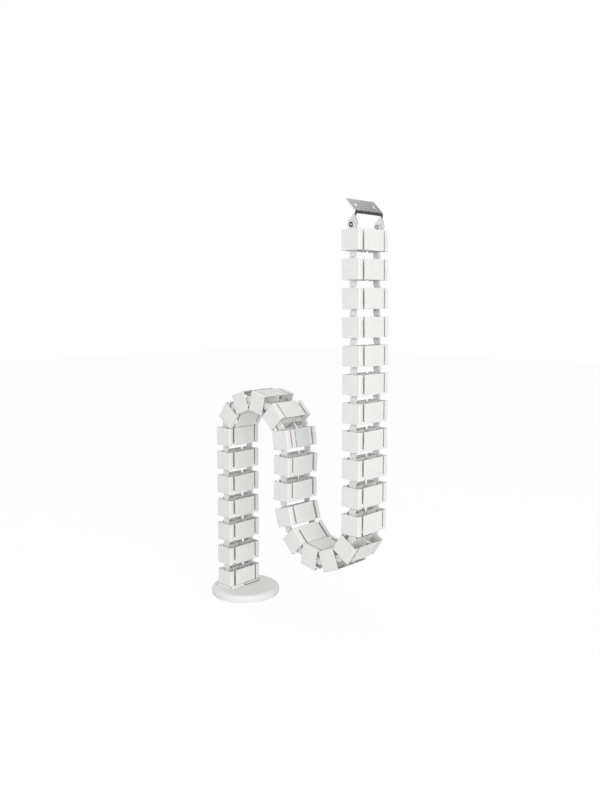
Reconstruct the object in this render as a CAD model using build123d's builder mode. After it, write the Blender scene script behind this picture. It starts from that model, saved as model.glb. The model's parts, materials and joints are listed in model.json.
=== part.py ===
from build123d import *
import os
from math import cos, radians, sin

# A desk cable spine: thirty plastic links hinged in a chain, from a round weighted
# foot on the floor to a folded steel bracket that screws under the desk. Every link
# bends both ways on its neighbour, and the chain lies here in an S of two bends.
# The origin is the middle of the foot's underside. X is the hinge axis, the chain
# bends in the YZ plane, and it rises from the foot and then runs toward -Y.

# One link: a ring that is open above and below, with the cable chambers in it
pitch = 44.0
link_width = 72.5
link_depth = 35.3
link_height = 32.0
link_wall = 1.5
corner_chamfer = 1.2
web_thickness = 1.0
divider_thickness = 2.4
strut_thickness = 1.2
strut_spread = 9.0
wide_slot = 4.6
narrow_slot = 3.0
slot_inset = 10.6

# The hinge between two links: pegs on the lower ears turn in the eyes of the upper ears.
# Both are six-sided to keep a chain of thirty light in faces: the peg's corners turn
# inside the flats of the eye.
ear_thickness = 2.2
ear_inset = 3.4
ear_root = 11.0
ear_tip_clearance = 0.4
ear_gap = 0.4
peg_radius = 3.6
peg_clearance = 0.06
peg_sides = 6

# The link that carries a bare marker plate beside a slot in two halves
marked_index = 12
marker_width = 32.0
marker_height = 28.6
marker_thickness = 0.8
marker_offset = 2.8
marker_clearance = 0.15
tag_slot_width = 2.8
tag_bridge = 2.5

# The weighted foot: a cover over a steel weight, with a pad under both
foot_radius = 62.0
foot_edge_radius = 4.5
foot_edge_steps = 2
foot_rim = 2.4
foot_top_wall = 2.0
foot_lift = 0.6
foot_facets = 36
pad_thickness = 1.2
weight_clearance = 0.4
stem_offset = 18.0

# The insert in the foot's top, which holds the first link, with a low ledge before the link
insert_width = 80.0
insert_depth = 45.0
insert_shift = -2.5
insert_corner = 6.0
insert_seam = 0.4
ledge_width = 36.0
ledge_depth = 3.2
ledge_height = 1.0
ledge_offset = 15.0
ledge_gap = 0.3

# The bracket of folded sheet, in a frame of its own at the last hinge
bracket_sheet = 1.5
bracket_tilt = 45.0
plate_width = 68.4
plate_depth = 26.9
plate_front = 8.9
plate_top = 20.6
plate_corner = 3.0
lip_height = 6.0
screw_spacing = 44.0
screw_slot_width = 4.8
screw_slot_length = 7.5
screw_from_back = 13.7
arm_gap = 0.4
pin_head_radius = 4.8
pin_head_thickness = 1.0

# The bend at each hinge at rest, from the one above the first link to the last link's
bends = [0] * 6 + [35, 35, 33, 32, 36, 11, -2, -16, -28, -36, -31, -36, -33]
bends += [0] * 5 + [-1] + [0] * 4

# Sizes that follow from these
half_gap = (pitch - link_height) / 2
ear_radius = half_gap - ear_tip_clearance
eye_radius = peg_radius + peg_clearance
upper_ear_out = link_width / 2 - link_wall - ear_inset
upper_ear_in = upper_ear_out - ear_thickness
lower_ear_out = upper_ear_in - ear_gap
lower_ear_in = lower_ear_out - ear_thickness
inner_depth = link_depth - 2 * link_wall
foot_height = pad_thickness + 2 * half_gap
weight_top = foot_height - foot_top_wall
weight_radius = foot_radius - foot_rim - weight_clearance
arm_in = upper_ear_out + arm_gap
arm_out = arm_in + bracket_sheet

os.makedirs("parts", exist_ok=True)


def ear_outline(root):
    """The corners of an ear about its hinge at the origin: a root at the given height and a
    far end in three flats inside the circle of the ear's radius."""
    up = -1 if root > 0 else 1
    tip = [
        (ear_radius * cos(radians(turn)), up * ear_radius * sin(radians(turn)))
        for turn in (0, 60, 120, 180)
    ]
    return [(-ear_radius, root), (ear_radius, root), *tip]


# The link in its own frame, with Y along its depth and Z along the chain
with BuildPart() as link:
    with BuildSketch(Plane.XY.offset(-link_height / 2)):
        Rectangle(link_width, link_depth)
        chamfer(vertices(), corner_chamfer)
        Rectangle(link_width - 2 * link_wall, inner_depth, mode=Mode.SUBTRACT)
        Rectangle(link_width - link_wall, web_thickness)
        with Locations((0, link_wall / 4)):
            Rectangle(
                divider_thickness, (link_depth - link_wall) / 2, align=(Align.CENTER, Align.MIN)
            )
        for side in (-1, 1):
            with BuildLine():
                Polyline(
                    (side * strut_thickness / 2, 0),
                    (side * (strut_spread + strut_thickness / 2), -inner_depth / 2),
                    (side * (strut_spread - strut_thickness / 2), -inner_depth / 2),
                    (-side * strut_thickness / 2, 0),
                    close=True,
                )
            make_face()
        for side, face in ((-1, -1), (-1, 1), (1, -1), (1, 1)):
            with Locations((side * (link_width / 2 - slot_inset), face * (link_depth - link_wall) / 2)):
                Rectangle(
                    wide_slot if side == face else narrow_slot, 2 * link_wall, mode=Mode.SUBTRACT
                )
    extrude(amount=link_height)
    for side in (-1, 1):
        # The upper ear, set in from the side wall, with its eye
        with BuildSketch(Plane((side * upper_ear_in, 0, pitch / 2), (0, 1, 0), (1, 0, 0))):
            with BuildLine():
                Polyline(*ear_outline(-half_gap - ear_root), close=True)
            make_face()
            RegularPolygon(eye_radius, peg_sides, major_radius=False, mode=Mode.SUBTRACT)
        extrude(amount=side * ear_thickness)
        # The lower ear, one running gap further in, with its peg
        with BuildSketch(Plane((side * lower_ear_in, 0, -pitch / 2), (0, 1, 0), (1, 0, 0))):
            with BuildLine():
                Polyline(*ear_outline(half_gap + ear_root), close=True)
            make_face()
        extrude(amount=side * ear_thickness)
        with BuildSketch(Plane((side * lower_ear_out, 0, -pitch / 2), (0, 1, 0), (1, 0, 0))):
            RegularPolygon(peg_radius, peg_sides)
        extrude(amount=side * (ear_gap + ear_thickness))

# The marked link: the same, with a sunk field for the plate and a slot in two halves
field_width = marker_width + 2 * marker_clearance
tag_slot_x = marker_offset - field_width / 2 - tag_slot_width / 2
half_slot = (link_height - tag_bridge) / 2
with BuildPart() as link_with_field:
    add(link.part)
    front = Plane((0, link_depth / 2, 0), x_dir=(1, 0, 0), z_dir=(0, 1, 0))
    with BuildSketch(front):
        with Locations((marker_offset, 0)):
            Rectangle(field_width, marker_height + 2 * marker_clearance)
    extrude(amount=-marker_thickness, mode=Mode.SUBTRACT)
    with BuildSketch(front):
        for side in (-1, 1):
            with Locations((tag_slot_x, side * (tag_bridge + half_slot) / 2)):
                Rectangle(tag_slot_width, half_slot)
    extrude(amount=-link_wall, mode=Mode.SUBTRACT)

with BuildPart() as plate_in_field:
    with BuildSketch(Plane(front.origin - front.z_dir * marker_thickness, (1, 0, 0), (0, 1, 0))):
        with Locations((marker_offset, 0)):
            Rectangle(marker_width, marker_height)
    extrude(amount=marker_thickness)

# The frame of each link in the bent chain, and the hinge where the chain ends
link_frames = []
hinge = Vector(0, stem_offset, foot_height - half_gap)
tilt = 0
for bend in [0] + bends:
    tilt += bend
    along = Vector(0, -sin(radians(tilt)), cos(radians(tilt)))
    link_frames.append(Plane(hinge + along * pitch / 2, x_dir=(1, 0, 0), z_dir=along))
    hinge += along * pitch

for number, link_frame in enumerate(link_frames, start=1):
    with BuildPart(link_frame) as chain_link:
        add(link_with_field.part if number == marked_index else link.part)
    chain_link.part.label = f"link_{number:02d}"
    export_step(chain_link.part, f"parts/link_{number:02d}.step")

with BuildPart(link_frames[marked_index - 1]) as marker_plate:
    add(plate_in_field.part)
marker_plate.part.label = "marker_plate"
export_step(marker_plate.part, "parts/marker_plate.step")

# The insert: a flush plate, with a lug and a window on each side for the first link's ears
stem = Plane((0, stem_offset, 0))
with BuildPart() as foot_insert:
    with BuildSketch(stem.offset(weight_top)):
        with Locations((0, insert_shift)):
            RectangleRounded(insert_width, insert_depth, insert_corner)
        for side in (-1, 1):
            with Locations((side * (lower_ear_in + lower_ear_out) / 2, 0)):
                Rectangle(
                    ear_thickness + 2 * ear_gap, 2 * (ear_radius + ear_gap), mode=Mode.SUBTRACT
                )
    extrude(amount=foot_top_wall)
    with BuildSketch(stem.offset(foot_height)):
        with Locations((ledge_offset, -link_depth / 2 - ledge_gap)):
            Rectangle(ledge_width, ledge_depth, align=(Align.CENTER, Align.MAX))
    extrude(amount=ledge_height)
    for side in (-1, 1):
        lug_origin = (side * upper_ear_in, stem_offset, foot_height - half_gap)
        with BuildSketch(Plane(lug_origin, (0, 1, 0), (1, 0, 0))):
            with BuildLine():
                Polyline(*ear_outline(half_gap), close=True)
            make_face()
            RegularPolygon(eye_radius, peg_sides, major_radius=False, mode=Mode.SUBTRACT)
        extrude(amount=side * ear_thickness)
foot_insert.part.label = "foot_insert"
export_step(foot_insert.part, "parts/foot_insert.step")

# The foot's cover: its rounded edge runs in steps round the arc
edge_arc = [
    (
        foot_radius - foot_edge_radius * (1 - cos(radians(90 * step / foot_edge_steps))),
        foot_height - foot_edge_radius * (1 - sin(radians(90 * step / foot_edge_steps))),
    )
    for step in range(foot_edge_steps + 1)
]
with BuildPart() as foot_cover:
    with BuildSketch(Plane.XZ):
        with BuildLine():
            Polyline((0, foot_lift), (foot_radius, foot_lift), *edge_arc, (0, foot_height), close=True)
        make_face()
    revolve(axis=Axis.Z)
    with BuildSketch(Plane.XY):
        RegularPolygon(foot_radius - foot_rim, foot_facets)
    extrude(amount=weight_top, mode=Mode.SUBTRACT)
    with BuildSketch(stem.offset(weight_top)):
        with Locations((0, insert_shift)):
            RectangleRounded(
                insert_width + 2 * insert_seam, insert_depth + 2 * insert_seam,
                insert_corner + insert_seam,
            )
    extrude(amount=foot_top_wall, mode=Mode.SUBTRACT)
foot_cover.part.label = "foot_cover"
export_step(foot_cover.part, "parts/foot_cover.step")

# The steel weight, with a pocket on each side for the ears and lugs
with BuildPart() as foot_weight:
    with BuildSketch(Plane.XY.offset(pad_thickness)):
        RegularPolygon(weight_radius, foot_facets)
        for side in (-1, 1):
            with Locations((side * (lower_ear_in + upper_ear_out) / 2, stem_offset)):
                Rectangle(
                    upper_ear_out - lower_ear_in + 2 * ear_gap,
                    2 * (ear_radius + ear_gap),
                    mode=Mode.SUBTRACT,
                )
    extrude(amount=weight_top - pad_thickness)
foot_weight.part.label = "foot_weight"
export_step(foot_weight.part, "parts/foot_weight.step")

with BuildPart() as foot_pad:
    with BuildSketch(Plane.XY):
        RegularPolygon(weight_radius, foot_facets)
    extrude(amount=pad_thickness)
foot_pad.part.label = "foot_pad"
export_step(foot_pad.part, "parts/foot_pad.step")

# The bracket: a screw plate, a lip folded down from its front, and an arm on each side
with BuildPart() as folded_sheet:
    with BuildSketch(Plane.XY.offset(plate_top - bracket_sheet)):
        with Locations((0, plate_front)):
            Rectangle(plate_width, plate_depth, align=(Align.CENTER, Align.MIN))
        chamfer(vertices().group_by(Axis.Y)[-1], plate_corner)
        slot_y = plate_front + plate_depth - screw_from_back
        for side in (-1, 1):
            with Locations((side * screw_spacing / 2, slot_y)):
                SlotOverall(screw_slot_length, screw_slot_width, rotation=90, mode=Mode.SUBTRACT)
    extrude(amount=bracket_sheet)
    with BuildSketch(Plane.XY.offset(plate_top - lip_height)):
        with Locations((0, plate_front)):
            Rectangle(2 * arm_out, bracket_sheet, align=(Align.CENTER, Align.MIN))
    extrude(amount=lip_height)
    for side in (-1, 1):
        with BuildSketch(Plane.YZ.offset(side * arm_in)):
            Circle(ear_radius)
            with Locations((plate_front + bracket_sheet / 2, plate_top - lip_height / 2)):
                Rectangle(bracket_sheet, lip_height)
            make_hull()
            RegularPolygon(eye_radius, peg_sides, major_radius=False, mode=Mode.SUBTRACT)
        extrude(amount=side * bracket_sheet)

bracket_along = Vector(0, -sin(radians(bracket_tilt)), cos(radians(bracket_tilt)))
bracket_frame = Plane(hinge, x_dir=(1, 0, 0), z_dir=bracket_along)
with BuildPart(bracket_frame) as bracket:
    add(folded_sheet.part)
bracket.part.label = "bracket"
export_step(bracket.part, "parts/bracket.step")

# The bracket's pins: headed outside the arms, through the last link's upper eyes
for side, name in ((-1, "left"), (1, "right")):
    with BuildPart() as bracket_pin:
        with BuildSketch(Plane(hinge + Vector(side * arm_out, 0, 0), (0, 1, 0), (1, 0, 0))):
            Circle(pin_head_radius)
        extrude(amount=side * pin_head_thickness)
        with BuildSketch(Plane(hinge + Vector(side * arm_out, 0, 0), (0, 1, 0), (1, 0, 0))):
            RegularPolygon(peg_radius, peg_sides, rotation=bracket_tilt)
        extrude(amount=side * (upper_ear_in - arm_out))
    bracket_pin.part.label = f"bracket_pin_{name}"
    export_step(bracket_pin.part, f"parts/bracket_pin_{name}.step")
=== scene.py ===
import json

import bmesh
import bpy
import numpy as np
from mathutils import Matrix, Vector
from mathutils.geometry import tessellate_polygon


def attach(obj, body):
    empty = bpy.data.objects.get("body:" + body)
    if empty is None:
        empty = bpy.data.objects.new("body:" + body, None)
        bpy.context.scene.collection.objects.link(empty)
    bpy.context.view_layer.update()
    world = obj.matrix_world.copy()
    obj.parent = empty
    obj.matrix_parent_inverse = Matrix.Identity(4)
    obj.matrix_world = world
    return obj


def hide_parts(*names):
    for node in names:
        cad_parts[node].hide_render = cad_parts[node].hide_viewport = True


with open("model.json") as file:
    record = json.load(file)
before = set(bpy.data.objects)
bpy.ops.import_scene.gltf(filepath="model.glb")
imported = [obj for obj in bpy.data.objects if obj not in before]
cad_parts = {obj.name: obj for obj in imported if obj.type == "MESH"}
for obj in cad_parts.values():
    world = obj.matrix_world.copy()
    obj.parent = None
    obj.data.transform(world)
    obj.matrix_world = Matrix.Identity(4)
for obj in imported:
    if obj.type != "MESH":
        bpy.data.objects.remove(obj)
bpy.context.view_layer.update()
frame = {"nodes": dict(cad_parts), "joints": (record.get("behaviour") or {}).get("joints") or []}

MM = 0.001

# The link's sizes, in millimetres
PITCH = 44.0
LINK_WIDTH, LINK_DEPTH, LINK_HEIGHT = 72.5, 35.3, 32.0
WALL, WEB, DIVIDER, STRUT = 1.5, 1.0, 2.4, 1.2
CORNER_RADIUS = 2.2
SLOT_CENTRE, WIDE_SLOT, NARROW_SLOT = 25.65, 4.6, 3.0
STRUT_SPREAD = 9.0
EAR_THICKNESS, EAR_INSET, EAR_GAP, EAR_RADIUS, EAR_ROOT = 2.2, 3.4, 0.4, 5.6, 17.0
PEG_RADIUS, EYE_RADIUS = 3.6, 3.85
SOFT_EDGE, EDGE_STEPS = 0.35, 3
# Inner walls end a little below the outer ones, and each kind a little below the one it meets
INSIDE_STEP, RANK_STEP = 0.15, 0.1
# The wall's short straight beside a slot, and how far from the side's middle its last points lie
SLOT_STUB, SIDE_STEP = 1.0, 4.0
EAR_STEPS, EAR_SIDE_STEPS = 33, 9
# The peg's outline: its start inside the lower ear, and its end as distance in from the upper ear's face and radius
PEG_START, PEG_CORE = 0.3, 3.0
PEG_END = (
    (0.45, PEG_RADIUS), (0.18, PEG_RADIUS - 0.1), (0.05, PEG_RADIUS - 0.35), (0.0, PEG_RADIUS - 0.7),
    (0.0, 1.5), (0.05, 1.3), (0.3, 1.1), (0.35, 0.9),
)
# Where the painted shade inside a link starts behind the skin, and the depth at which it is full
SKIN_MARGIN, PAINTED_SHADE_DEPTH = 0.05, 12.0

# The marked link's front wall
MARKED_LINK = 12
MARKER_CENTRE, MARKER_WIDTH, MARKER_HEIGHT, MARKER_THICKNESS = 2.8, 32.0, 28.6, 0.8
MARKER_SEAM, MARKER_EDGE = 0.15, 0.2
TAG_SLOT, TAG_BRIDGE = 2.8, 2.5
# How far the bridge, the sunk field and the rails run into the walls beside them
BRIDGE_LAP, FIELD_LAP, RAIL_LAP = 0.5, 0.4, 0.3

# The foot
FOOT_RADIUS, FOOT_HEIGHT, FOOT_EDGE, FOOT_RIM, FOOT_LIFT = 62.0, 13.2, 7.0, 2.4, 0.6
FOOT_TOP, FOOT_EDGE_HEIGHT = 2.0, 6.0
FOOT_SEGMENTS, FOOT_EDGE_STEPS = 288, 13
FOOT_SIDE_RINGS, FOOT_TOP_RINGS = (5.0, 3.0), (0.15, 0.5, 0.85)
FOOT_LOWER_EDGE, FOOT_LOWER_MIDDLE = 0.5, 0.15
STEM_Y = 18.0
WINDOW_WIDTH, WINDOW_DEPTH, WINDOW_SHIFT, WINDOW_CORNER = 80.8, 45.8, -2.5, 6.4
WINDOW_EDGE, WINDOW_EDGE_MIDDLE = 0.25, 0.08
LEDGE_WIDTH, LEDGE_DEPTH, LEDGE_X, LEDGE_GAP = 36.0, 3.2, 15.0, 0.3
# What stands on the foot, each by its middle and half sizes: the first link, and the ledge in front of it
LINK_OUTLINE = (0, STEM_Y, LINK_WIDTH / 2, LINK_DEPTH / 2)
LEDGE_OUTLINE = (LEDGE_X, STEM_Y - LINK_DEPTH / 2 - LEDGE_GAP - LEDGE_DEPTH / 2, LEDGE_WIDTH / 2, LEDGE_DEPTH / 2)
# The plinth that the first link stands in: its height over the foot's top, how far it stands out, its corners'
# radius, how deep it sits in the foot, its upright start, and its upper edge as distances in and down
PLINTH_HEIGHT, PLINTH_OUT, PLINTH_CORNER, PLINTH_SINK, PLINTH_START = 4.1, 1.3, 1.6, 0.2, 0.1
PLINTH_EDGE = ((0.2, 0.4), (0.3, 0.12), (0.6, 0.0))
CORNER_POINTS = 6

# The finishes: scales of the noises, heights of the bumps in metres, and the painted shade lines round what stands on
# the foot
TONE_SCALE, GLOSS_SCALE, SINK_SCALE, GRAIN_SCALE = 55, 240, 90, 4200
ROLLING_SCALE, ROLLING_STRETCH, SPANGLE_SCALE = 2600, 0.06, 130
CELL_SCALE, DUST_SCALE = 1800, 300
SINK_HEIGHT, GRAIN_HEIGHT, ROLLING_HEIGHT, CELL_HEIGHT = 0.00012, 0.00002, 0.00002, 0.0001
SHADE_LINE_WIDTH, SHADE_LINE_FADE, SHADE_LINE_COLOUR = 0.6, 1.6, (0.16, 0.155, 0.15)
# The painted shade in the pins' grooves
GROOVE_PAINTED_SHADE = (0.03, 0.03, 0.03)

# The stage: the floor's own colour, how strongly it is seen and how much of that is its lit colour; the surround's
# light; and the dark card that the bracket mirrors, in metres
FLOOR_COLOUR, FLOOR_HALF = (0.7, 0.7, 0.7), 6.0
FLOOR_GLOW, SHADOW_SHARE = 1.1, 0.2
SURROUND = 0.71
FLAG_COLOUR, FLAG_SIZE, FLAG_DISTANCE = (0.08, 0.08, 0.08), 4.65, 2.2
FLAG_SIDE, FLAG_AIM = (0.78, -0.62, 0.1), (0, -0.28, 0.65)
# The lamps: name, place and aim in metres, size and power
LAMPS = (
    ("camera_side", (-3.0, -2.9, 0.7), (0, -0.15, 0.33), 1.6, 55),
    ("front_right", (-1.4, -3.9, 1.5), (0, -0.15, 0.33), 2.6, 44),
    ("overhead", (-0.2, -0.2, 2.8), (0, -0.1, 0.3), 1.8, 4),
)
# The photograph's camera: its angles in degrees, its place in mm, and its focal length over the frame's height
CAMERA_TURN, CAMERA_DIP, CAMERA_ROLL = 46.7646, -6.9196, 0.0057
CAMERA_PLACE = (-970.6, -1051.18, 531.38)
SENSOR_HEIGHT, FOCAL_SHARE = 36.0, 795.45 / 800

# The bracket of sheet: its plate and slots, the lip with its gussets, the arms and the pins
SHEET, BRACKET_TILT = 1.5, 45.0
PLATE_WIDTH, PLATE_DEPTH, PLATE_FRONT, PLATE_TOP, PLATE_CORNER = 68.4, 26.9, 8.9, 20.6, 3.0
SCREW_SPACING, SCREW_WIDTH, SCREW_LENGTH, SCREW_FROM_BACK = 44.0, 4.8, 7.5, 13.7
PLATE_FRONT_CORNER, SHEET_EDGE = 1.5, 0.3
LIP_HEIGHT, LIP_SEAT, GUSSET = 4.4, 0.35, 4.3
ARM_OUT, ARM_RADIUS, ARM_MIDDLE = 33.25, 9.6, (-1.9, 1.0)
# The arm's outline: where its front edge meets the round end, that end's angles, and its upper points behind the lip
ARM_WAIST, ARM_START, ARM_END = (0.25, 4.0), 175, 390
ARM_SHOULDER, ARM_TOP = 1.6, 0.4
STOP_HOLE, STOP_HOLE_RADIUS = (-8.2, -0.4), 1.2
PIN_HEAD_RADIUS, PIN_BORE, PIN_CORE, PIN_CHAMFER, PIN_FIT = 4.8, 1.5, 2.5, 0.15, 0.06
# The pin's outline past the arm's outer face, as distance out and radius: the head's crown, the groove and the tip
PIN_END = (
    (0.0, PEG_RADIUS), (0.0, PIN_HEAD_RADIUS - 0.15), (0.2, PIN_HEAD_RADIUS), (0.6, PIN_HEAD_RADIUS - 0.1),
    (0.9, PIN_HEAD_RADIUS - 0.4), (1.0, PIN_HEAD_RADIUS - 0.8), (0.9, PIN_HEAD_RADIUS - 1.1),
    (-1.6, PIN_HEAD_RADIUS - 1.5), (-1.6, PIN_BORE + 0.3), (0.75, PIN_BORE + 0.25), (0.9, PIN_BORE), (0.9, 0.6),
)
# The painted shade in the pin's groove lies between these radii
GROOVE_SHADE_INNER, GROOVE_SHADE_OUTER = PIN_BORE + 0.2, PEG_RADIUS - 0.2


def quarter_turns(steps):
    """Angles from 0 to a right angle in even steps."""
    return np.linspace(0.0, np.pi / 2, steps + 1)


def section_loop():
    """The rounded section's directions: corner signs C(v) and unit vectors U(v) round four quarter circles."""
    turn = np.concatenate([quarter_turns(EDGE_STEPS) + k * np.pi / 2 for k in range(4)])
    corner = np.repeat([[1, 1], [-1, 1], [-1, -1], [1, -1]], EDGE_STEPS + 1, axis=0)
    return corner.astype(float), np.stack([np.cos(turn), np.sin(turn)], 1)


def grid_faces(rows, columns, wrap_rows=False):
    """Four-sided faces between neighbouring points of a grid of closed rings, whose last ring may meet the first."""
    r, c = np.meshgrid(np.arange(rows if wrap_rows else rows - 1), np.arange(columns), indexing="ij")
    r2, c2 = (r + 1) % rows, (c + 1) % columns
    return np.stack([r * columns + c, r * columns + c2, r2 * columns + c2, r2 * columns + c], -1).reshape(-1, 4)


def carried_wall(path, thickness, height, middle=0.0, edge=SOFT_EDGE):
    """A moulded wall. The rounded section of the given thickness and height goes along a flat path:
    S(s, v) = path(s) + a(s, v) normal(s) + b(s, v) z, and at both ends the edge's quarter circle draws it in."""
    path = np.asarray(path, float)
    run = np.concatenate([[0.0], np.cumsum(np.linalg.norm(np.diff(path, axis=0), axis=1))])
    turn = quarter_turns(EDGE_STEPS)
    draw = edge * (1 - np.cos(turn))
    inner = run[(run > edge * 1.01) & (run < run[-1] - edge * 1.01)]
    stations = np.concatenate([draw, inner, run[-1] - draw[::-1]])
    grow = np.concatenate([np.sin(turn), np.ones(len(inner)), np.sin(turn[::-1])])
    along = np.gradient(path, run, axis=0)
    along /= np.linalg.norm(along, axis=1)[:, None]
    centre = np.stack([np.interp(stations, run, path[:, k]) for k in (0, 1)], 1)
    normal = np.stack([np.interp(stations, run, -along[:, 1]), np.interp(stations, run, along[:, 0])], 1)
    corner, unit = section_loop()
    half = np.array([thickness, height]) / 2 - edge
    a = corner[:, 0] * half[0] + edge * grow[:, None] * unit[:, 0]
    b = corner[:, 1] * half[1] + edge * grow[:, None] * unit[:, 1]
    points = np.empty((len(stations), len(corner), 3))
    points[..., :2] = centre[:, None] + normal[:, None] * a[..., None]
    points[..., 2] = middle + b
    return capped(points)


def capped(points):
    """A grid of closed rings as one closed surface, with a flat cap on the first and the last ring."""
    rows, columns = points.shape[:2]
    faces = grid_faces(rows, columns).tolist()
    faces.append(list(range(columns))[::-1])
    faces.append(list(range((rows - 1) * columns, rows * columns)))
    return points.reshape(-1, 3), faces


def eyed_plate(turn, hole, reach, low, high, edge=SOFT_EDGE):
    """A flat plate about an eye on the X axis. At each angle the rounded section runs from the eye's radius
    to the outline's reach, and from low to high along X; the surface closes both ways."""
    corner, unit = section_loop()
    middle, half = (reach + hole) / 2, (reach - hole) / 2 - edge
    radius = middle[:, None] + corner[:, 0] * half[:, None] + edge * unit[:, 0]
    x = (low + high) / 2 + corner[:, 1] * ((high - low) / 2 - edge) + edge * unit[:, 1]
    points = np.empty((len(turn), len(corner), 3))
    points[..., 0] = x
    points[..., 1] = radius * np.cos(turn)[:, None]
    points[..., 2] = radius * np.sin(turn)[:, None]
    return points.reshape(-1, 3), grid_faces(len(turn), len(corner), wrap_rows=True).tolist()


def turned(profile, segments=48):
    """A turned piece about the X axis: S(k, t) = (x_k, r_k cos t, r_k sin t), with flat ends."""
    profile = np.asarray(profile, float)
    turn = np.linspace(0, 2 * np.pi, segments, endpoint=False)
    points = np.empty((len(profile), segments, 3))
    points[..., 0] = profile[:, :1]
    points[..., 1] = profile[:, 1:] * np.cos(turn)
    points[..., 2] = profile[:, 1:] * np.sin(turn)
    return capped(points)


def joined(parts):
    """Several closed surfaces as one list of points and one of faces."""
    points, faces, count = [], [], 0
    for p, f in parts:
        points.append(p)
        faces.extend([[i + count for i in face] for face in f])
        count += len(p)
    return np.concatenate(points), faces


def moved(part, shift=(0, 0, 0), flip=(1, 1, 1)):
    """The surface mirrored by the signs in flip, then shifted; a mirrored surface turns its faces round."""
    points, faces = part
    if np.prod(flip) < 0:
        faces = [face[::-1] for face in faces]
    return points * np.array(flip, float) + np.array(shift, float), faces


def ear_reach(turn):
    """How far the ear's outline is from its eye: a half circle ahead, straight sides and a flat root behind."""
    across, ahead = np.abs(np.cos(turn)), np.sin(turn)
    sides = EAR_RADIUS / np.maximum(across, 1e-9)
    root = EAR_ROOT / np.maximum(-ahead, 1e-9)
    return np.where(ahead >= 0, EAR_RADIUS, np.minimum(sides, root))


def ear_turns():
    """Angles round an ear, closer at its two root corners."""
    root = np.arctan2(EAR_ROOT, EAR_RADIUS)
    parts = [
        np.linspace(0, np.pi, EAR_STEPS), np.linspace(np.pi, np.pi + root, EAR_SIDE_STEPS),
        np.linspace(np.pi + root, 2 * np.pi - root, EAR_SIDE_STEPS),
        np.linspace(2 * np.pi - root, 2 * np.pi, EAR_SIDE_STEPS),
    ]
    return np.unique(np.concatenate(parts).round(9))[:-1]


def side_channel():
    """The wall's middle line from the wide slot round both corners to the narrow slot on the other side."""
    half_x, half_y = (LINK_WIDTH - WALL) / 2, (LINK_DEPTH - WALL) / 2
    radius = CORNER_RADIUS - WALL / 2
    turn = quarter_turns(6)
    corner = np.stack([half_x - radius + radius * np.sin(turn), half_y - radius + radius * np.cos(turn)], 1)
    corner = np.concatenate([corner, [[half_x, SIDE_STEP]]])
    wide, narrow = [
        np.array([[start, half_y], [start + SLOT_STUB, half_y]])
        for start in (SLOT_CENTRE + WIDE_SLOT / 2, SLOT_CENTRE + NARROW_SLOT / 2)
    ]
    return np.concatenate([wide, corner, corner[::-1] * [1, -1], narrow[::-1] * [1, -1]])


def front_wall(side):
    """The plain wall between a narrow slot and a wide one, turned half round for the other side."""
    y = (LINK_DEPTH - WALL) / 2
    line = np.array([(-SLOT_CENTRE + NARROW_SLOT / 2, y), (0, y), (SLOT_CENTRE - WIDE_SLOT / 2, y)])
    return [carried_wall(side * line, WALL, LINK_HEIGHT)]


def marked_wall():
    """The front wall of the marked link: a slot in two halves, and a sunk field with a rail above and below."""
    y = (LINK_DEPTH - WALL) / 2
    low = MARKER_CENTRE - MARKER_WIDTH / 2 - MARKER_SEAM
    high = MARKER_CENTRE + MARKER_WIDTH / 2 + MARKER_SEAM
    floor_y = LINK_DEPTH / 2 - WALL + (WALL - MARKER_THICKNESS) / 2
    rail = (LINK_HEIGHT - MARKER_HEIGHT) / 2 - MARKER_SEAM
    parts = [
        carried_wall([(-SLOT_CENTRE + NARROW_SLOT / 2, y), (low - TAG_SLOT, y)], WALL, LINK_HEIGHT),
        carried_wall([(low - TAG_SLOT - BRIDGE_LAP, y), (low + BRIDGE_LAP, y)], WALL, TAG_BRIDGE),
        carried_wall([(low, floor_y), (high + FIELD_LAP, floor_y)], WALL - MARKER_THICKNESS, LINK_HEIGHT,
                     edge=MARKER_EDGE),
        carried_wall([(high, y), (SLOT_CENTRE - WIDE_SLOT / 2, y)], WALL, LINK_HEIGHT),
    ]
    for side in (-1, 1):
        middle = side * (LINK_HEIGHT - rail) / 2
        parts.append(carried_wall([(low, y), (high + RAIL_LAP, y)], WALL, rail, middle, MARKER_EDGE))
    return parts


def link_surface(marked=False):
    """The whole link about its own middle: walls, web, divider, struts, ears and pegs."""
    x_mid, y_mid = (LINK_WIDTH - WALL) / 2, (LINK_DEPTH - WALL) / 2
    inside = LINK_HEIGHT - 2 * INSIDE_STEP
    channel = carried_wall(side_channel(), WALL, LINK_HEIGHT)
    parts = [channel, moved(channel, flip=(-1, -1, 1))]
    parts += marked_wall() if marked else front_wall(1)
    parts += front_wall(-1)
    parts.append(carried_wall([(-x_mid, 0), (0, 0), (x_mid, 0)], WEB, inside))
    parts.append(carried_wall([(0, 0), (0, y_mid)], DIVIDER, inside - RANK_STEP))
    for side in (-1, 1):
        parts.append(carried_wall([(0, 0), (side * STRUT_SPREAD, -y_mid)], STRUT, inside - 2 * RANK_STEP))
    turn = ear_turns()
    upper_out = LINK_WIDTH / 2 - WALL - EAR_INSET
    upper_in = upper_out - EAR_THICKNESS
    lower_out = upper_in - EAR_GAP
    lower_in = lower_out - EAR_THICKNESS
    hole = np.full(len(turn), EYE_RADIUS)
    upper = eyed_plate(turn, hole, ear_reach(turn), upper_in, upper_out)
    lower = eyed_plate(turn, hole * 0.5, ear_reach(turn), lower_in, lower_out)
    start = lower_in + PEG_START
    peg = turned([(start, PEG_CORE), (start, PEG_RADIUS)] + [(upper_out - back, radius) for back, radius in PEG_END])
    for side in (1, -1):
        parts.append(moved(upper, (0, 0, PITCH / 2), (side, 1, 1)))
        parts.append(moved(lower, (0, 0, -PITCH / 2), (side, 1, -1)))
        parts.append(moved(peg, (0, 0, -PITCH / 2), (side, 1, 1)))
    return joined(parts)


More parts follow.
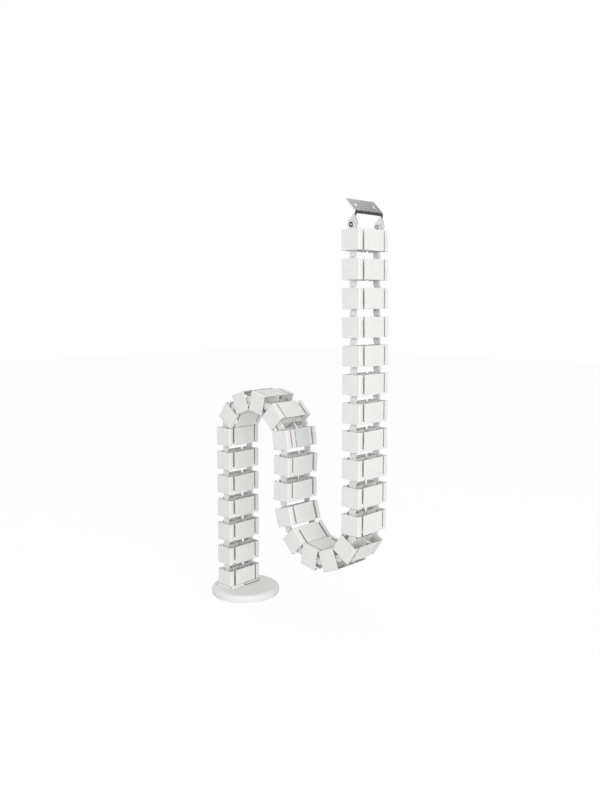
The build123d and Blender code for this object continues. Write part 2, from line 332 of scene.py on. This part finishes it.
def painted_shade_amount(points):
    """How much painted shade each point of a link gets, by how deep inside it lies: nothing on the outer skin and at
    the open ends, and one in the middle, with an even rise from each open end."""
    within_x = (LINK_WIDTH / 2 - WALL + SKIN_MARGIN - np.abs(points[:, 0])) > 0
    within_y = (LINK_DEPTH / 2 - WALL + SKIN_MARGIN - np.abs(points[:, 1])) > 0
    below_rim = np.clip((LINK_HEIGHT / 2 - np.abs(points[:, 2])) / PAINTED_SHADE_DEPTH, 0, 1)
    return within_x * within_y * below_rim


def settled(part):
    """The surface in metres, with every face turned outwards by Blender's own test of each closed shell."""
    mesh = bpy.data.meshes.new("draft")
    mesh.from_pydata((part[0] * MM).tolist(), [], part[1])
    shell = bmesh.new()
    shell.from_mesh(mesh)
    bmesh.ops.recalc_face_normals(shell, faces=shell.faces)
    faces = [[v.index for v in face.verts] for face in shell.faces]
    shell.free()
    bpy.data.meshes.remove(mesh)
    return part[0] * MM, faces


def piece(name, points, faces, material, body, slot, *replaced, depth=None):
    """A finished piece in the shared frame: smooth over soft edges, with flat walls kept flat."""
    mesh = bpy.data.meshes.new(name)
    mesh.from_pydata(points.tolist(), [], faces)
    # depth holds how much painted shade each point gets, for the material to read
    if depth is not None:
        mesh.attributes.new("painted_shade_amount", "FLOAT", "POINT").data.foreach_set("value", depth)
    mesh.polygons.foreach_set("use_smooth", np.ones(len(faces), bool))
    mesh.materials.append(material)
    item = bpy.data.objects.new(name, mesh)
    bpy.context.scene.collection.objects.link(item)
    flat = item.modifiers.new("flat_walls", "WEIGHTED_NORMAL")
    flat.keep_sharp = True
    flat.weight = 80
    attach(item, body)
    if replaced:
        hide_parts(*replaced)
    return item


def placed(points, origin, along):
    """Points of a link's own frame carried to the shared frame: x stays, y and z turn with the chain."""
    depth = np.array([0.0, along[2], -along[1]])
    return np.array(origin) + points[:, :1] * [1, 0, 0] + points[:, 1:2] * depth + points[:, 2:] * np.array(along)


def shader(name, colour, roughness, metallic=0.0, specular=0.5):
    """A new node material with its shader's even values set on the sockets."""
    material = bpy.data.materials.new(name)
    material.use_nodes = True
    nodes, links = material.node_tree.nodes, material.node_tree.links
    main = nodes["Principled BSDF"]
    main.inputs["Base Color"].default_value = (*colour, 1)
    main.inputs["Roughness"].default_value = roughness
    main.inputs["Metallic"].default_value = metallic
    main.inputs["Specular IOR Level"].default_value = specular
    place = nodes.new("ShaderNodeTexCoord")
    return material, nodes, links, main, place.outputs["Object"]


def noise(nodes, links, where, scale, detail, rough=0.5):
    """Noise over the object's own coordinates."""
    node = nodes.new("ShaderNodeTexNoise")
    node.inputs["Scale"].default_value = scale
    node.inputs["Detail"].default_value = detail
    node.inputs["Roughness"].default_value = rough
    links.new(where, node.inputs["Vector"])
    return node.outputs["Fac"]


def ramp(nodes, links, value, low, high, from_low=0.3, from_high=0.7):
    """The value carried from one range to another."""
    node = nodes.new("ShaderNodeMapRange")
    node.inputs["From Min"].default_value = from_low
    node.inputs["From Max"].default_value = from_high
    node.inputs["To Min"].default_value = low
    node.inputs["To Max"].default_value = high
    links.new(value, node.inputs["Value"])
    return node.outputs["Result"]


def tint(nodes, links, value, low, high):
    """A colour between two, by the value. Each is a plain colour or another node's output."""
    node = nodes.new("ShaderNodeMix")
    node.data_type = "RGBA"
    for socket, colour in ((node.inputs[6], low), (node.inputs[7], high)):
        if isinstance(colour, bpy.types.NodeSocket):
            links.new(colour, socket)
        else:
            socket.default_value = (*colour, 1)
    links.new(value, node.inputs["Factor"])
    return node.outputs[2]


def bump(nodes, links, main, height, distance, strength, under=None):
    """A raised finish on the shader's normal, over another where one is given."""
    node = nodes.new("ShaderNodeBump")
    node.inputs["Distance"].default_value = distance
    node.inputs["Strength"].default_value = strength
    links.new(height, node.inputs["Height"])
    if under is not None:
        links.new(under, node.inputs["Normal"])
    links.new(node.outputs["Normal"], main.inputs["Normal"])
    return node.outputs["Normal"]


def with_painted_shade(nodes, links, skin, deep):
    """The skin's colour, turning into a painted shade where the piece's points are marked for it."""
    depth = nodes.new("ShaderNodeAttribute")
    depth.attribute_name = "painted_shade_amount"
    return tint(nodes, links, depth.outputs["Fac"], skin, deep)


def moulded_white(name, colour, roughness, painted_inside_shade=None):
    """White moulded plastic: a fine spark-eroded grain, slow waves of sink, and a faint uneven tone. Deep inside a link
    the colour turns to a painted shade, darker the deeper the point lies."""
    material, nodes, links, main, where = shader(name, colour, roughness)
    tone = ramp(nodes, links, noise(nodes, links, where, TONE_SCALE, 4), 0, 1)
    skin = tint(nodes, links, tone, tuple(c * 0.965 for c in colour), colour)
    links.new(with_painted_shade(nodes, links, skin, painted_inside_shade or colour), main.inputs["Base Color"])
    gloss = noise(nodes, links, where, GLOSS_SCALE, 2)
    links.new(ramp(nodes, links, gloss, roughness - 0.07, roughness + 0.07), main.inputs["Roughness"])
    waves = bump(nodes, links, main, noise(nodes, links, where, SINK_SCALE, 1), SINK_HEIGHT, 0.35)
    bump(nodes, links, main, noise(nodes, links, where, GRAIN_SCALE, 2, 0.6), GRAIN_HEIGHT, 0.5, waves)
    main.inputs["Subsurface Weight"].default_value = 0.04
    main.inputs["Subsurface Radius"].default_value = (0.002, 0.0018, 0.0015)
    return material


def painted_shade_lines(material, outlines):
    """Painted shade on the foot along the joints round what stands on it. The base colour is dark where the point's
    distance from one of the outlines, rectangles given by middle and half sizes in mm, is less than the line's width."""
    nodes, links = material.node_tree.nodes, material.node_tree.links
    main = nodes["Principled BSDF"]
    where = nodes.new("ShaderNodeTexCoord").outputs["Object"]

    def sums(kind, operation, *values):
        """One node of vector or plain arithmetic over sockets and constants."""
        node = nodes.new(kind)
        node.operation = operation
        for socket, value in zip(node.inputs, values):
            if isinstance(value, bpy.types.NodeSocket):
                links.new(value, socket)
            else:
                socket.default_value = value
        return node.outputs[0]

    nearest = 1.0
    for x, y, half_x, half_y in outlines:
        offset = sums("ShaderNodeVectorMath", "SUBTRACT", where, (x * MM, y * MM, 0))
        beyond = sums("ShaderNodeVectorMath", "SUBTRACT", sums("ShaderNodeVectorMath", "ABSOLUTE", offset),
                      (half_x * MM, half_y * MM, 0))
        split = nodes.new("ShaderNodeSeparateXYZ")
        links.new(beyond, split.inputs[0])
        edge = sums("ShaderNodeMath", "MAXIMUM", split.outputs["X"], split.outputs["Y"])
        nearest = sums("ShaderNodeMath", "MINIMUM", sums("ShaderNodeMath", "ABSOLUTE", edge), nearest)
    away = ramp(nodes, links, nearest, 0, 1, SHADE_LINE_WIDTH * MM, SHADE_LINE_FADE * SHADE_LINE_WIDTH * MM)
    skin = main.inputs["Base Color"].links[0].from_socket
    links.new(tint(nodes, links, away, SHADE_LINE_COLOUR, skin), main.inputs["Base Color"])


def rolled_steel(name, colour, roughness):
    """Cold-rolled sheet under clear zinc: long rolling lines along X and cloudy spangle. Where a piece marks a groove,
    the colour turns to a painted shade.
    """
    material, nodes, links, main, where = shader(name, colour, roughness, 1.0)
    stretch = nodes.new("ShaderNodeMapping")
    stretch.inputs["Scale"].default_value = (ROLLING_STRETCH, 1.0, 1.0)
    links.new(where, stretch.inputs["Vector"])
    lines = noise(nodes, links, stretch.outputs["Vector"], ROLLING_SCALE, 3, 0.7)
    cloud = noise(nodes, links, where, SPANGLE_SCALE, 3)
    skin = tint(nodes, links, ramp(nodes, links, cloud, 0, 1), tuple(c * 0.92 for c in colour), colour)
    links.new(with_painted_shade(nodes, links, skin, GROOVE_PAINTED_SHADE), main.inputs["Base Color"])
    links.new(ramp(nodes, links, lines, roughness - 0.1, roughness + 0.14), main.inputs["Roughness"])
    bump(nodes, links, main, lines, ROLLING_HEIGHT, 0.5)
    return material


def rubber(name, colour):
    """Foam rubber: an open fine cell bump and a dull face."""
    material, nodes, links, main, where = shader(name, colour, 0.85, 0.0, 0.3)
    cell = nodes.new("ShaderNodeTexVoronoi")
    cell.inputs["Scale"].default_value = CELL_SCALE
    links.new(where, cell.inputs["Vector"])
    tone = ramp(nodes, links, noise(nodes, links, where, DUST_SCALE, 3), 0, 1)
    links.new(tint(nodes, links, tone, tuple(c * 0.8 for c in colour), colour), main.inputs["Base Color"])
    bump(nodes, links, main, cell.outputs["Distance"], CELL_HEIGHT, 0.6)
    return material


def plinth_surface():
    """The plinth round the first link's base: rings of a rounded rectangle rise from the foot's top, draw in with the
    moulding's draft, round over and close flat on top. A ring's point is its corner's middle + radius (cos t, sin t),
    and both the rectangle and the radius grow by how far the ring stands out."""
    out, rise = np.array([(PLINTH_OUT, -PLINTH_SINK), (PLINTH_OUT, PLINTH_START)] + [
        (PLINTH_OUT - inward, PLINTH_HEIGHT - below) for inward, below in PLINTH_EDGE
    ]).T[:, :, None]
    angle = (np.linspace(0, np.pi / 2, CORNER_POINTS) + np.arange(4)[:, None] * np.pi / 2).ravel()
    side_x, side_y = np.repeat([1, -1, -1, 1], CORNER_POINTS), np.repeat([1, 1, -1, -1], CORNER_POINTS)
    corner = PLINTH_CORNER + out
    return capped(np.stack([
        side_x * (LINK_WIDTH / 2 + out - corner) + corner * np.cos(angle),
        side_y * (LINK_DEPTH / 2 + out - corner) + corner * np.sin(angle) + STEM_Y,
        FOOT_HEIGHT + rise + 0 * angle,
    ], 2))


def rounded_rectangle(width, depth, corner, turn):
    """The distance from the middle to a rounded rectangle's outline in each direction."""
    c, s = np.abs(np.cos(turn)), np.abs(np.sin(turn))
    half_w, half_d = width / 2, depth / 2
    flat = np.minimum(half_w / np.maximum(c, 1e-9), half_d / np.maximum(s, 1e-9))
    cx, cy = half_w - corner, half_d - corner
    middle = cx * c + cy * s
    under = middle ** 2 - (cx ** 2 + cy ** 2 - corner ** 2)
    arc = middle + np.sqrt(np.maximum(under, 0))
    return np.where((flat * c > cx) & (flat * s > cy), arc, flat)


def foot_cover_surface():
    """The foot's cover: rings go from the insert's window over the top, round the edge's quarter of an ellipse,
    down the side and up inside. Every ring's points lie on the same rays from the window's middle."""
    turn = np.linspace(0, 2 * np.pi, FOOT_SEGMENTS, endpoint=False)
    middle = np.array([0.0, STEM_Y + WINDOW_SHIFT])
    ray = np.stack([np.cos(turn), np.sin(turn)], 1)
    window = middle + ray * rounded_rectangle(WINDOW_WIDTH, WINDOW_DEPTH, WINDOW_CORNER, turn)[:, None]

    def circle(radius):
        """Where the rays meet a circle about the foot's middle."""
        across = ray @ middle
        reach = -across + np.sqrt(across ** 2 - middle @ middle + radius ** 2)
        return middle + ray * reach[:, None]

    def ring(flat, z):
        """A flat outline at a height."""
        return np.concatenate([flat, np.full((len(turn), 1), z)], 1)

    inset = FOOT_RADIUS - FOOT_EDGE
    rings = [ring(window, FOOT_HEIGHT - FOOT_TOP), ring(window, FOOT_HEIGHT - WINDOW_EDGE)]
    rings += [ring(window + ray * WINDOW_EDGE_MIDDLE, FOOT_HEIGHT - WINDOW_EDGE_MIDDLE)]
    rings += [ring(window + ray * WINDOW_EDGE, FOOT_HEIGHT)]
    rim = circle(inset)
    rings += [ring(window * (1 - t) + rim * t, FOOT_HEIGHT) for t in FOOT_TOP_RINGS]
    rings += [
        ring(circle(inset + FOOT_EDGE * np.sin(a)), FOOT_HEIGHT - FOOT_EDGE_HEIGHT * (1 - np.cos(a)))
        for a in np.linspace(0, np.pi / 2, FOOT_EDGE_STEPS)
    ]
    rings += [ring(circle(FOOT_RADIUS), z) for z in (*FOOT_SIDE_RINGS, FOOT_LIFT + FOOT_LOWER_EDGE)]
    rings += [ring(circle(FOOT_RADIUS - FOOT_LOWER_MIDDLE), FOOT_LIFT + FOOT_LOWER_MIDDLE)]
    rings += [ring(circle(FOOT_RADIUS - FOOT_LOWER_EDGE), FOOT_LIFT)]
    rings += [ring(circle(FOOT_RADIUS - FOOT_RIM), FOOT_LIFT)]
    rings += [ring(circle(FOOT_RADIUS - FOOT_RIM), FOOT_HEIGHT - FOOT_TOP)]
    points = np.stack(rings)
    return points.reshape(-1, 3), grid_faces(len(rings), len(turn), wrap_rows=True).tolist()


def arc(middle, radius, start, end, steps=10):
    """Points on a circle's arc: middle + radius (cos t, sin t), with t from start to end in degrees."""
    turn = np.radians(np.linspace(start, end, steps + 1))
    return np.array(middle) + radius * np.stack([np.cos(turn), np.sin(turn)], 1)


def cut_sheet(loops):
    """A flat blank cut from sheet, with rolled edges. Every loop keeps the metal on its left and carries the edge's
    profile: P(i, a) = loop(i) + edge (1 - sin a) inward(i) at the height edge (1 - cos a), and the same mirrored
    above. The two flat sides fill the first and the last rings."""
    turn = quarter_turns(EDGE_STEPS)
    inset = SHEET_EDGE * (1 - np.sin(turn))
    rise = SHEET_EDGE * (1 - np.cos(turn))
    profile = np.concatenate([
        np.stack([inset, rise], 1), np.stack([inset[::-1], SHEET - rise[::-1]], 1),
    ])
    rings, flat, walls, start = [], [], [], 0
    for loop in loops:
        ahead = np.roll(loop, -1, 0) - loop
        ahead /= np.linalg.norm(ahead, axis=1)[:, None]
        left = np.stack([-ahead[:, 1], ahead[:, 0]], 1)
        before = np.roll(left, 1, 0)
        inward = (left + before) / (1 + (left * before).sum(1))[:, None]
        ring = np.empty((len(profile), len(loop), 3))
        ring[..., :2] = loop + inward * profile[:, :1, None]
        ring[..., 2] = profile[:, 1:]
        rings.append(ring.reshape(-1, 3))
        flat.append([Vector((*point, 0)) for point in ring[0, :, :2]])
        walls.append(grid_faces(len(profile), len(loop)) + start)
        start += ring.shape[0] * ring.shape[1]
    starts = np.cumsum([0] + [len(ring) for ring in rings[:-1]])
    lowest = np.concatenate([first + np.arange(len(loop)) for first, loop in zip(starts, loops)])
    highest = np.concatenate([
        first + len(ring) - len(loop) + np.arange(len(loop)) for first, ring, loop in zip(starts, rings, loops)
    ])
    sides = np.array(tessellate_polygon(flat))
    faces = np.concatenate(walls).tolist() + lowest[sides].tolist() + highest[sides].tolist()
    return np.concatenate(rings), faces


def bracket_surface():
    """The folded bracket about its hinge: a screw plate that leans back, a lip that hangs from the plate's front and
    turns down into the arms, and an arm on each side with a broad round end."""
    lean = np.radians(BRACKET_TILT)
    back, front = PLATE_FRONT + PLATE_DEPTH, PLATE_FRONT
    half, corner, small = PLATE_WIDTH / 2, PLATE_CORNER, PLATE_FRONT_CORNER
    plate = [np.concatenate([
        arc((half - small, front + small), small, -90, 0, 4), arc((half - corner, back - corner), corner, 0, 90),
        arc((corner - half, back - corner), corner, 90, 180), arc((small - half, front + small), small, 180, 270, 4),
    ])]
    straight = (SCREW_LENGTH - SCREW_WIDTH) / 2
    for side in (-1, 1):
        middle = np.array([side * SCREW_SPACING / 2, back - SCREW_FROM_BACK])
        plate.append(np.concatenate([
            arc(middle + (0, straight), SCREW_WIDTH / 2, 180, 0), arc(middle - (0, straight), SCREW_WIDTH / 2, 0, -180),
        ]))
    points, faces = cut_sheet(plate)
    across, up = np.array([0, np.cos(lean), np.sin(lean)]), np.array([0, -np.sin(lean), np.cos(lean)])
    points = points[:, :1] * [1, 0, 0] + points[:, 1:2] * across + (points[:, 2:] + PLATE_TOP - SHEET) * up
    edge_line = front * across + PLATE_TOP * up
    top, lip_y = edge_line[2] - LIP_SEAT, edge_line[1]
    inner, low = ARM_OUT - SHEET - GUSSET, top - LIP_HEIGHT
    lip = [np.concatenate([
        [(-ARM_OUT, top), (-ARM_OUT, low - GUSSET), (-inner - GUSSET, low - GUSSET)],
        arc((-inner, low - GUSSET), GUSSET, 180, 90)[1:], arc((inner, low - GUSSET), GUSSET, 90, 0)[:-1],
        [(inner + GUSSET, low - GUSSET), (ARM_OUT, low - GUSSET), (ARM_OUT, top)],
    ])]
    lip_points, lip_faces = cut_sheet(lip)
    lip_points = np.stack([lip_points[:, 0], lip_y + lip_points[:, 2], lip_points[:, 1]], 1)
    parts = [(points, faces), (lip_points, lip_faces)]
    outline = np.concatenate([
        [(lip_y, low - GUSSET), (ARM_MIDDLE[0] - ARM_RADIUS + ARM_WAIST[0], ARM_MIDDLE[1] + ARM_WAIST[1])],
        arc(ARM_MIDDLE, ARM_RADIUS, ARM_START, ARM_END, 40),
        [(lip_y + ARM_SHOULDER, top - ARM_SHOULDER), (lip_y, top - ARM_TOP)],
    ])
    eye = arc((0, 0), PEG_RADIUS + PIN_FIT, 360, 0, 40)[:-1]
    stop_hole = arc(STOP_HOLE, STOP_HOLE_RADIUS, 360, 0, 16)[:-1]
    arm_points, arm_faces = cut_sheet([outline, eye, stop_hole])
    arm = np.stack([arm_points[:, 2] + ARM_OUT - SHEET, arm_points[:, 0], arm_points[:, 1]], 1), arm_faces
    parts += [arm, moved(arm, flip=(-1, 1, 1))]
    return joined(parts)


def pin_surface():
    """One headed pin: its outline, from the upper ear's inner side to the tip in its groove, turned about X."""
    inner = LINK_WIDTH / 2 - WALL - EAR_INSET - EAR_THICKNESS
    return turned([
        (inner, PIN_BORE), (inner, PIN_CORE), (inner, PEG_RADIUS - PIN_CHAMFER), (inner + PIN_CHAMFER, PEG_RADIUS),
    ] + [(ARM_OUT + out, radius) for out, radius in PIN_END])


def seen_white(nodes, links, unseen, seen):
    """A shader that the camera, gloss and glass see as the one, and the light on the object as the other."""
    path = nodes.new("ShaderNodeLightPath")
    share = path.outputs["Is Camera Ray"]
    for kind in ("Is Glossy Ray", "Is Transmission Ray"):
        either = nodes.new("ShaderNodeMath")
        either.operation = "MAXIMUM"
        links.new(share, either.inputs[0])
        links.new(path.outputs[kind], either.inputs[1])
        share = either.outputs["Value"]
    mix = nodes.new("ShaderNodeMixShader")
    links.new(share, mix.inputs["Fac"])
    links.new(unseen, mix.inputs[1])
    links.new(seen, mix.inputs[2])
    return mix.outputs["Shader"]


def floor_white():
    """A pale floor: it throws light back by its own colour, and is seen as white with the object's soft shadow."""
    material = bpy.data.materials.new("floor_white")
    material.use_nodes = True
    nodes, links = material.node_tree.nodes, material.node_tree.links
    nodes.remove(nodes["Principled BSDF"])
    matt = nodes.new("ShaderNodeBsdfDiffuse")
    matt.inputs["Color"].default_value = (*FLOOR_COLOUR, 1)
    glow = nodes.new("ShaderNodeEmission")
    glow.inputs["Strength"].default_value = FLOOR_GLOW
    both = nodes.new("ShaderNodeMixShader")
    both.inputs["Fac"].default_value = 1 - SHADOW_SHARE
    links.new(matt.outputs["BSDF"], both.inputs[1])
    links.new(glow.outputs["Emission"], both.inputs[2])
    links.new(seen_white(nodes, links, matt.outputs["BSDF"], both.outputs["Shader"]),
              nodes["Material Output"].inputs["Surface"])
    return material


def flat_square(name, half, material):
    """A flat square about its own middle, facing up."""
    mesh = bpy.data.meshes.new(name)
    mesh.from_pydata([(-half, -half, 0), (half, -half, 0), (half, half, 0), (-half, half, 0)], [], [(0, 1, 2, 3)])
    mesh.materials.append(material)
    item = bpy.data.objects.new(name, mesh)
    bpy.context.scene.collection.objects.link(item)
    return item


def stage_floor():
    """A plain pale floor, far wider than the view."""
    item = flat_square("floor", FLOOR_HALF, floor_white())


def softbox(name, place, aim, size, power):
    """A square area lamp that looks at a point."""
    lamp = bpy.data.lights.new(name, "AREA")
    lamp.shape = "SQUARE"
    lamp.size = size
    lamp.energy = power
    item = bpy.data.objects.new(name, lamp)
    item.location = place
    item.rotation_euler = (Vector(aim) - Vector(place)).to_track_quat("-Z", "Y").to_euler()
    bpy.context.scene.collection.objects.link(item)


def world_light():
    """The studio round the object: even light from all sides, seen as white by the camera, gloss and glass."""
    world = bpy.data.worlds.new("surround")
    bpy.context.scene.world = world
    world.use_nodes = True
    nodes, links = world.node_tree.nodes, world.node_tree.links
    fill = nodes["Background"]
    fill.inputs["Color"].default_value = (1, 1, 1, 1)
    fill.inputs["Strength"].default_value = SURROUND
    white = nodes.new("ShaderNodeBackground")
    white.inputs["Color"].default_value = (1, 1, 1, 1)
    white.inputs["Strength"].default_value = 1.0
    links.new(seen_white(nodes, links, fill.outputs["Background"], white.outputs["Background"]),
              nodes["World Output"].inputs["Surface"])


def flag_card():
    """A dark card to the right of the spine. Only gloss sees it: steel mirrors it, and it takes no light away."""
    material = bpy.data.materials.new("flag_black")
    material.use_nodes = True
    main = material.node_tree.nodes["Principled BSDF"]
    main.inputs["Base Color"].default_value = (*FLAG_COLOUR, 1)
    main.inputs["Roughness"].default_value = 0.9
    item = flat_square("flag_card", FLAG_SIZE / 2, material)
    aim = Vector(FLAG_AIM)
    item.location = aim + FLAG_DISTANCE * Vector(FLAG_SIDE).normalized()
    item.rotation_euler = (aim - item.location).to_track_quat("Z", "Y").to_euler()
    item.visible_camera = item.visible_diffuse = item.visible_transmission = item.visible_shadow = False


def photo_camera():
    """The camera at the photograph's place: 1.4 m from the spine, a little above its middle, looking down 7 degrees."""
    turn, dip, roll = np.radians((CAMERA_TURN, CAMERA_DIP, CAMERA_ROLL))
    forward = Vector((np.sin(turn) * np.cos(dip), np.cos(turn) * np.cos(dip), np.sin(dip)))
    right = Vector((np.cos(turn), -np.sin(turn), 0))
    up = right.cross(forward)
    right, up = right * np.cos(roll) + up * np.sin(roll), up * np.cos(roll) - right * np.sin(roll)
    lens = bpy.data.cameras.new("photo_camera")
    lens.sensor_fit = "VERTICAL"
    lens.sensor_height = SENSOR_HEIGHT
    lens.lens = SENSOR_HEIGHT * FOCAL_SHARE
    item = bpy.data.objects.new("photo_camera", lens)
    item.matrix_world = Matrix((right, up, -forward)).transposed().to_4x4()
    item.location = Vector(CAMERA_PLACE) * MM
    bpy.context.scene.collection.objects.link(item)
    bpy.context.scene.camera = item


# The links' insides get a dark painted shade, fading out towards the open ends and the outer skin
link_plastic = moulded_white("link_plastic", (0.80, 0.80, 0.785), 0.62, painted_inside_shade=(0.30, 0.295, 0.285))
foot_plastic = moulded_white("foot_plastic", (0.80, 0.80, 0.79), 0.55)
# Painted shade lines round the first link's base and the ledge, where they stand on the foot
painted_shade_lines(foot_plastic, (LINK_OUTLINE, LEDGE_OUTLINE))
marker_plastic = moulded_white("marker_plastic", (0.70, 0.73, 0.73), 0.42)
steel = rolled_steel("bracket_steel", (0.75, 0.755, 0.76), 0.28)
pin_metal = rolled_steel("pin_steel", (0.66, 0.665, 0.67), 0.25)
weight_metal = rolled_steel("weight_steel", (0.35, 0.35, 0.36), 0.5)
pad_rubber = rubber("pad_rubber", (0.12, 0.12, 0.125))

for node_name, finish in (
    ("foot_insert", foot_plastic), ("foot_weight", weight_metal), ("foot_pad", pad_rubber),
):
    frame["nodes"][node_name].data.materials.clear()
    frame["nodes"][node_name].data.materials.append(finish)

# The chain: each link stands between its two hinges, which the frame's joints give; the last hinge is the bracket's
order = ["foot"] + [joint["child"] for joint in frame["joints"]]
hinge_at = {joint["child"]: np.array(joint["pos_m"]) for joint in frame["joints"]}
upper_hinges = [hinge_at[body] for body in order[1:]]
lower_hinges = [upper_hinges[0] - np.array([0.0, 0.0, PITCH * MM])] + upper_hinges[:-1]
plain_link = settled(link_surface())
marked_link = settled(link_surface(marked=True))
marker_y = LINK_DEPTH / 2 - MARKER_THICKNESS / 2
marker = settled(carried_wall(
    [(MARKER_CENTRE - MARKER_WIDTH / 2, marker_y), (MARKER_CENTRE + MARKER_WIDTH / 2, marker_y)],
    MARKER_THICKNESS, MARKER_HEIGHT, edge=MARKER_EDGE,
))
for number, (body, low, high) in enumerate(zip(order, lower_hinges, upper_hinges), start=1):
    along = (high - low) / np.linalg.norm(high - low)
    points, faces = marked_link if number == MARKED_LINK else plain_link
    # Each link carries how much painted shade its points get
    piece(f"moulded_link_{number:02d}", placed(points, (low + high) / 2, along), faces,
          link_plastic, body, "link_plastic", f"link_{number:02d}", depth=painted_shade_amount(points / MM))
    if number == MARKED_LINK:
        piece("marker_insert", placed(marker[0], (low + high) / 2, along), marker[1],
              marker_plastic, body, "marker_plastic", "marker_plate")

cover = settled(foot_cover_surface())
piece("foot_shell", cover[0], cover[1], foot_plastic, "foot", "foot_plastic", "foot_cover")
plinth = settled(plinth_surface())
piece("foot_plinth", plinth[0], plinth[1], foot_plastic, "foot", "foot_plastic")

# The bracket and its pins
end_hinge = upper_hinges[-1]
points, faces = settled(bracket_surface())
piece("bracket_folded", points + end_hinge, faces, steel, "bracket_body", "bracket_steel", "bracket")
pin = settled(pin_surface())
for side, name in ((-1, "left"), (1, "right")):
    points, faces = moved(pin, flip=(side, 1, 1))
    # The groove round each pin's head gets a painted shade
    radius = np.hypot(points[:, 1], points[:, 2]) / MM
    piece(f"pin_turned_{name}", points + end_hinge, faces, pin_metal, "bracket_body", "pin_steel",
          f"bracket_pin_{name}", depth=1.0 * ((radius > GROOVE_SHADE_INNER) & (radius < GROOVE_SHADE_OUTER)))

stage_floor()
world_light()
flag_card()
for lamp in LAMPS:
    softbox(*lamp)
photo_camera()
bpy.context.scene.view_settings.view_transform = "Standard"
